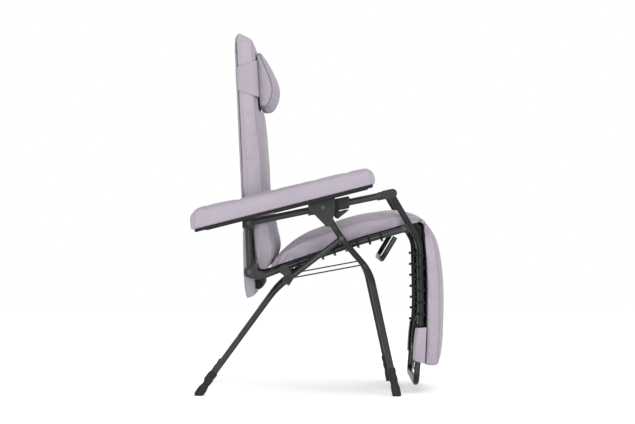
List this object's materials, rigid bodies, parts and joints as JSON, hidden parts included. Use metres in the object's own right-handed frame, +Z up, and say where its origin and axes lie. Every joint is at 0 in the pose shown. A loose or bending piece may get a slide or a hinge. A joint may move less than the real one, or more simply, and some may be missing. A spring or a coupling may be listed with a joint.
{
  "type": "folding recliner chair",
  "caption": "Folding recliner with scissor tube legs, linked back and leg rest, sliding armrests with lock levers, padded cushions and a strap-on head pillow.",
  "frame": {"origin": "on the floor, at the middle of the chair's length and width", "axes": "+Z up, the sitter faces -Y, X across the chair, which is the same on both sides"},
  "size_m": [0.76, 0.8202, 1.1663],
  "materials": {
    "frame_paint": "satin powder coat",
    "bolt_steel": "black zinc",
    "rod_steel": "satin",
    "moulding": "fine grain",
    "foot_rubber": "matte",
    "board_black": "matte",
    "sling_fabric": "woven",
    "lace_cord": "braided",
    "webbing": "ribbed webbing",
    "buckle_plastic": "gloss",
    "arm_leatherette": "soft satin grain",
    "cover_leatherette": "soft satin grain",
    "cushion_leatherette": "soft satin grain"
  },
  "bodies": {
    "front_legs": {"front_leg_left": "frame_paint", "front_leg_right": "frame_paint", "front_foot_left": "foot_rubber", "front_foot_right": "foot_rubber", "front_crossbar": "frame_paint", "leg_bolts": "bolt_steel", "rod_studs": "bolt_steel"},
    "rear_legs": {"rear_leg_left": "frame_paint", "rear_leg_right": "frame_paint", "rear_foot_left": "foot_rubber", "rear_foot_right": "foot_rubber", "leg_clamp_left": "moulding", "leg_clamp_right": "moulding", "rear_crossbar": "frame_paint"},
    "spreader": {"spreader_rod_left": "rod_steel", "spreader_rod_right": "rod_steel"},
    "seat": {"seat_rail_left": "frame_paint", "seat_rail_right": "frame_paint", "rail_elbow_left": "moulding", "rail_elbow_right": "moulding", "knee_bar": "frame_paint", "seat_bolts": "bolt_steel", "seat_sling": "sling_fabric", "seat_lacing": "lace_cord", "seat_cushion": "cushion_leatherette"},
    "back": {"back_frame": "frame_paint", "back_cushion": "cushion_leatherette", "back_cover": "cover_leatherette", "back_strap": "webbing", "arm_hinge_bolts": "bolt_steel"},
    "headrest": {"headrest_pillow": "cushion_leatherette", "headrest_band": "cover_leatherette"},
    "leg_rest": {"leg_rest_tube_left": "frame_paint", "leg_rest_tube_right": "frame_paint", "leg_rest_crossbar": "frame_paint", "leg_sling": "sling_fabric", "leg_lacing": "lace_cord", "leg_cushion": "cushion_leatherette", "leg_band": "cover_leatherette", "leg_strap": "webbing", "strap_buckle": "buckle_plastic"},
    "arm_tubes": {"arm_tube_left": "frame_paint", "arm_tube_right": "frame_paint", "arm_end_block_left": "moulding", "arm_end_block_right": "moulding", "arm_knuckle_left": "moulding", "arm_knuckle_right": "moulding"},
    "arm_carriers": {"arm_carrier_left": "moulding", "arm_carrier_right": "moulding", "arm_board_left": "board_black", "arm_board_right": "board_black", "arm_pad_left": "arm_leatherette", "arm_pad_right": "arm_leatherette"},
    "lock_left": {"lock_lever_left": "moulding"},
    "lock_right": {"lock_lever_right": "moulding"}
  },
  "joints": [
    {"name": "leg_fold", "type": "hinge", "parent": "front_legs", "child": "rear_legs", "pos_m": [0, -0.0763, 0.5047], "axis": [-1, 0, 0], "range_deg": [0, 50]},
    {"name": "rod_swing", "type": "hinge", "parent": "front_legs", "child": "spreader", "pos_m": [0, -0.1489, 0.4206], "axis": [-1, 0, 0], "range_deg": [0, 62.5]},
    {"name": "recline", "type": "hinge", "parent": "front_legs", "child": "seat", "pos_m": [0, 0.1074, 0.404], "axis": [-1, 0, 0], "range_deg": [0, 10]},
    {"name": "back_swing", "type": "hinge", "parent": "seat", "child": "back", "pos_m": [0, 0.2186, 0.3965], "axis": [-1, 0, 0], "range_deg": [0, 28.8]},
    {"name": "rest_swing", "type": "hinge", "parent": "seat", "child": "leg_rest", "pos_m": [0, -0.2773, 0.5352], "axis": [-1, 0, 0], "range_deg": [0, 42.8]},
    {"name": "arm_swing", "type": "hinge", "parent": "back", "child": "arm_tubes", "pos_m": [0, 0.2225, 0.5555], "axis": [-1, 0, 0], "range_deg": [-33.6, 0]},
    {"name": "carrier_tilt", "type": "hinge", "parent": "front_legs", "child": "arm_carriers", "pos_m": [0, -0.01756, 0.60458], "axis": [-1, 0, 0], "range_deg": [0, 5.2]},
    {"name": "headrest_slide", "type": "slide", "parent": "back", "child": "headrest", "axis": [0, 0.0456, 0.999], "range_m": [-0.03, 0.04]},
    {"name": "lock_left_turn", "type": "hinge", "parent": "arm_carriers", "child": "lock_left", "pos_m": [0, -0.062, 0.5843], "axis": [1, 0, 0], "range_deg": [0, 18], "stiffness_Nm_per_rad": 0.3, "springref_deg": -8.59},
    {"name": "lock_right_turn", "type": "hinge", "parent": "arm_carriers", "child": "lock_right", "pos_m": [0, -0.062, 0.5843], "axis": [1, 0, 0], "range_deg": [0, 18], "stiffness_Nm_per_rad": 0.3, "springref_deg": -8.59}
  ],
  "couplings": [
    {"joint": "rod_swing", "follows": "leg_fold", "ratio": 1.25},
    {"joint": "back_swing", "follows": "recline", "ratio": 2.88},
    {"joint": "rest_swing", "follows": "recline", "ratio": 4.28},
    {"joint": "arm_swing", "follows": "recline", "ratio": -3.36},
    {"joint": "carrier_tilt", "follows": "recline", "ratio": 0.52}
  ]
}
